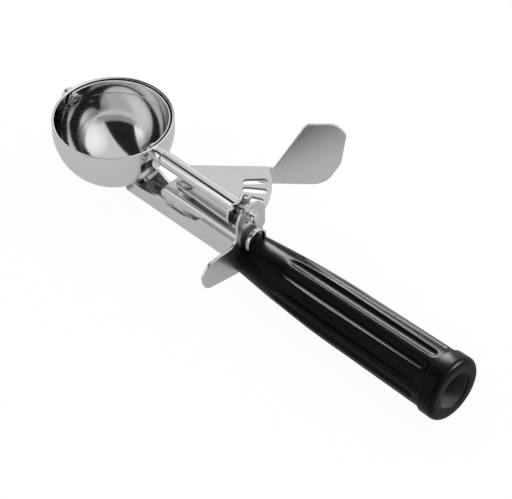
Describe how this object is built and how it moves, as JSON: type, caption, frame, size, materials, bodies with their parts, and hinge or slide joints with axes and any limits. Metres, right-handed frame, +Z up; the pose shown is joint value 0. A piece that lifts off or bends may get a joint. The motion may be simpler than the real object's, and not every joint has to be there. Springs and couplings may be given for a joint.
{
  "type": "lever ice cream scoop",
  "caption": "Ice cream scoop: a thumb lever with a slotted sector turns a pinion, whose shaft sweeps a scraper blade through the round bowl; fluted plastic grip",
  "frame": {"origin": "centre of the mouth of the round socket in the butt of the grip, on the grip's axis", "axes": "+X from the bowl to the butt along the grip's axis, +Z up on the bowl's open side, +Y towards the thumb pad"},
  "size_m": [0.2102, 0.0769, 0.0524],
  "materials": {
    "steel": "polished",
    "stamped_steel": "satin",
    "grip": "glossy"
  },
  "bodies": {
    "frame": {"bowl": "steel", "bowl_saddle": "stamped_steel", "front_pin": "steel", "neck_bushing": "steel", "rear_bushing": "steel", "pivot_rivet": "steel", "pivot_washer": "steel", "pivot_spacer": "steel", "return_spring": "steel", "shank_channel": "stamped_steel", "lever_bed": "stamped_steel", "finger_rest": "stamped_steel", "handle_collar": "steel", "handle_grip": "grip"},
    "lever": {"lever_plate": "stamped_steel", "lever_bushing": "steel"},
    "scraper": {"scraper_blade": "steel", "scraper_shaft": "steel", "shaft_sleeve": "steel", "pinion": "stamped_steel", "thrust_collar": "steel"}
  },
  "joints": [
    {"name": "lever", "type": "hinge", "parent": "frame", "child": "lever", "pos_m": [-0.141, 0, 0.01434], "axis": [0, 0, 1], "range_deg": [-38, 0], "stiffness_Nm_per_rad": 0.45, "springref_deg": 25.78},
    {"name": "scraper", "type": "hinge", "parent": "frame", "child": "scraper", "pos_m": [-0.1119, 0, 0.0205], "axis": [1, 0, 0], "range_deg": [-180, 0]}
  ],
  "couplings": [
    {"joint": "scraper", "follows": "lever", "ratio": 4.724}
  ]
}
